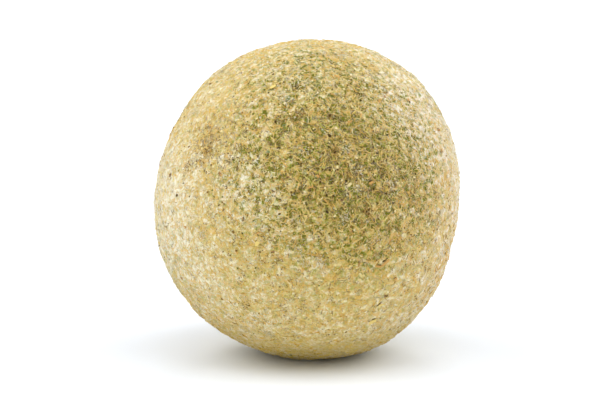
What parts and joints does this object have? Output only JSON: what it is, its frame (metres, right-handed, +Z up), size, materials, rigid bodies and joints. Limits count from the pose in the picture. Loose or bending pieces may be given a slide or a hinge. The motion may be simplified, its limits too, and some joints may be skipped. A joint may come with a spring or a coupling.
{
  "type": "bael fruit",
  "caption": "Whole bael fruit as picked: nearly round, with a pale scurfy, corky rind and a round stalk scar, lying on a small flat spot.",
  "frame": {"origin": "middle of the underside of the fruit's bounding box, on the surface that it lies on", "axes": "+Z up from the flat spot that it rests on, -Y towards the front, +X to the right seen from the front; the stalk scar is on the back"},
  "size_m": [0.0764, 0.0784, 0.0796],
  "materials": {
    "rind": "matt, scurfy cork: pale cream and tan with a fine net, green showing through in patches"
  },
  "bodies": {
    "root": {"fruit": "rind"}
  },
  "joints": []
}
